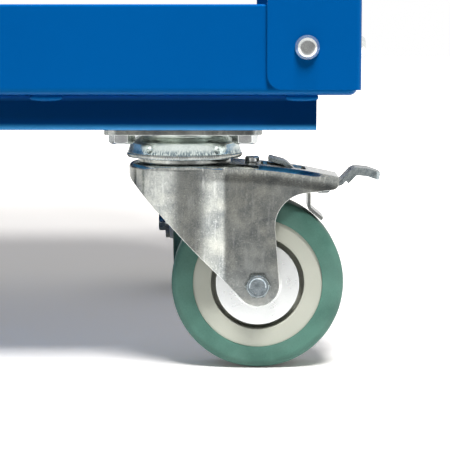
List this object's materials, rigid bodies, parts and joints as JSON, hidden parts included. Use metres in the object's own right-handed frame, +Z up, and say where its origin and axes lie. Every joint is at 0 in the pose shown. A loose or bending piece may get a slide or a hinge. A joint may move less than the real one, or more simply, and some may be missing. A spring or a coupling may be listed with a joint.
{
  "type": "shelf trolley",
  "caption": "Push trolley with pan shelves between bolted angle posts, tube handle, fixed front castors and braked swivel rear castors.",
  "frame": {"origin": "on the floor, under the middle of the trolley's bounding box", "axes": "+Z up, +X along the length towards the push handle and the braked castors, +Y across the width"},
  "size_m": [0.9107, 0.4424, 0.9725],
  "materials": {
    "blue_powder_coat": "satin powder coat",
    "zinc_plate": "bright zinc plated",
    "zinc_fasteners": "bright zinc plated",
    "hardened_steel": "ground steel",
    "light_grey_plastic": "moulded, smooth",
    "green_grey_rubber": "solid rubber, faintly mottled"
  },
  "bodies": {
    "frame": {"bottom_shelf": "blue_powder_coat", "castor_bolts": "zinc_fasteners", "castor_nuts": "zinc_fasteners", "front_axle_bolts": "zinc_fasteners", "front_axle_nuts": "zinc_fasteners", "front_left_axle_sleeve": "hardened_steel", "front_left_bracket": "zinc_plate", "front_left_post": "blue_powder_coat", "front_left_thread_guards": "zinc_plate", "front_right_axle_sleeve": "hardened_steel", "front_right_bracket": "zinc_plate", "front_right_post": "blue_powder_coat", "front_right_thread_guards": "zinc_plate", "handle_bolts": "zinc_fasteners", "handle_nuts": "zinc_fasteners", "king_pins": "zinc_fasteners", "left_runner": "blue_powder_coat", "middle_shelf": "blue_powder_coat", "push_handle": "blue_powder_coat", "rear_left_lower_race": "hardened_steel", "rear_left_post": "blue_powder_coat", "rear_left_swivel_housing": "zinc_plate", "rear_left_top_plate": "zinc_plate", "rear_right_lower_race": "hardened_steel", "rear_right_post": "blue_powder_coat", "rear_right_swivel_housing": "zinc_plate", "rear_right_top_plate": "zinc_plate", "right_runner": "blue_powder_coat", "shelf_bolts": "zinc_fasteners", "shelf_nuts": "zinc_fasteners", "top_shelf": "blue_powder_coat"},
    "rear_left_fork": {"rear_left_axle_bolt": "zinc_fasteners", "rear_left_axle_nut": "zinc_fasteners", "rear_left_axle_sleeve": "hardened_steel", "rear_left_brake_pin": "zinc_fasteners", "rear_left_brake_rivet": "zinc_fasteners", "rear_left_fork": "zinc_plate", "rear_left_swivel_balls": "hardened_steel", "rear_left_thread_guards": "zinc_plate"},
    "rear_left_wheel": {"rear_left_tyre": "green_grey_rubber", "rear_left_wheel_rim": "light_grey_plastic"},
    "rear_left_brake_pedal": {"rear_left_brake_lever": "zinc_plate"},
    "rear_left_brake_shoe": {"rear_left_brake_shoe": "zinc_plate"},
    "front_left_wheel": {"front_left_tyre": "green_grey_rubber", "front_left_wheel_rim": "light_grey_plastic"},
    "rear_right_fork": {"rear_right_axle_bolt": "zinc_fasteners", "rear_right_axle_nut": "zinc_fasteners", "rear_right_axle_sleeve": "hardened_steel", "rear_right_brake_pin": "zinc_fasteners", "rear_right_brake_rivet": "zinc_fasteners", "rear_right_fork": "zinc_plate", "rear_right_swivel_balls": "hardened_steel", "rear_right_thread_guards": "zinc_plate"},
    "rear_right_wheel": {"rear_right_tyre": "green_grey_rubber", "rear_right_wheel_rim": "light_grey_plastic"},
    "rear_right_brake_pedal": {"rear_right_brake_lever": "zinc_plate"},
    "rear_right_brake_shoe": {"rear_right_brake_shoe": "zinc_plate"},
    "front_right_wheel": {"front_right_tyre": "green_grey_rubber", "front_right_wheel_rim": "light_grey_plastic"}
  },
  "joints": [
    {"name": "rear_left_swivel", "type": "hinge", "parent": "frame", "child": "rear_left_fork", "pos_m": [0.25385, -0.166, 0.12], "axis": [0, 0, 1], "continuous": true},
    {"name": "rear_left_wheel_spin", "type": "hinge", "parent": "rear_left_fork", "child": "rear_left_wheel", "pos_m": [0.29635, -0.166, 0.05], "axis": [0, 1, 0], "continuous": true},
    {"name": "rear_left_pedal_press", "type": "hinge", "parent": "rear_left_fork", "child": "rear_left_brake_pedal", "pos_m": [0.31935, -0.166, 0.1105], "axis": [0, 1, 0], "range_deg": [0, 12]},
    {"name": "rear_left_shoe_flex", "type": "hinge", "parent": "rear_left_fork", "child": "rear_left_brake_shoe", "pos_m": [0.29335, -0.166, 0.11436], "axis": [0, 1, 0], "range_deg": [0, 1.4]},
    {"name": "front_left_wheel_spin", "type": "hinge", "parent": "frame", "child": "front_left_wheel", "pos_m": [-0.35215, -0.166, 0.05], "axis": [0, 1, 0], "continuous": true},
    {"name": "rear_right_swivel", "type": "hinge", "parent": "frame", "child": "rear_right_fork", "pos_m": [0.25385, 0.166, 0.12], "axis": [0, 0, 1], "continuous": true},
    {"name": "rear_right_wheel_spin", "type": "hinge", "parent": "rear_right_fork", "child": "rear_right_wheel", "pos_m": [0.25385, 0.1235, 0.05], "axis": [1, 0, 0], "continuous": true},
    {"name": "rear_right_pedal_press", "type": "hinge", "parent": "rear_right_fork", "child": "rear_right_brake_pedal", "pos_m": [0.25385, 0.1005, 0.1105], "axis": [1, 0, 0], "range_deg": [0, 12]},
    {"name": "rear_right_shoe_flex", "type": "hinge", "parent": "rear_right_fork", "child": "rear_right_brake_shoe", "pos_m": [0.25385, 0.1265, 0.11436], "axis": [1, 0, 0], "range_deg": [0, 1.4]},
    {"name": "front_right_wheel_spin", "type": "hinge", "parent": "frame", "child": "front_right_wheel", "pos_m": [-0.35215, 0.166, 0.05], "axis": [0, 1, 0], "continuous": true}
  ],
  "couplings": [
    {"joint": "rear_left_shoe_flex", "follows": "rear_left_pedal_press", "ratio": 0.11666},
    {"joint": "rear_right_shoe_flex", "follows": "rear_right_pedal_press", "ratio": 0.11666}
  ]
}
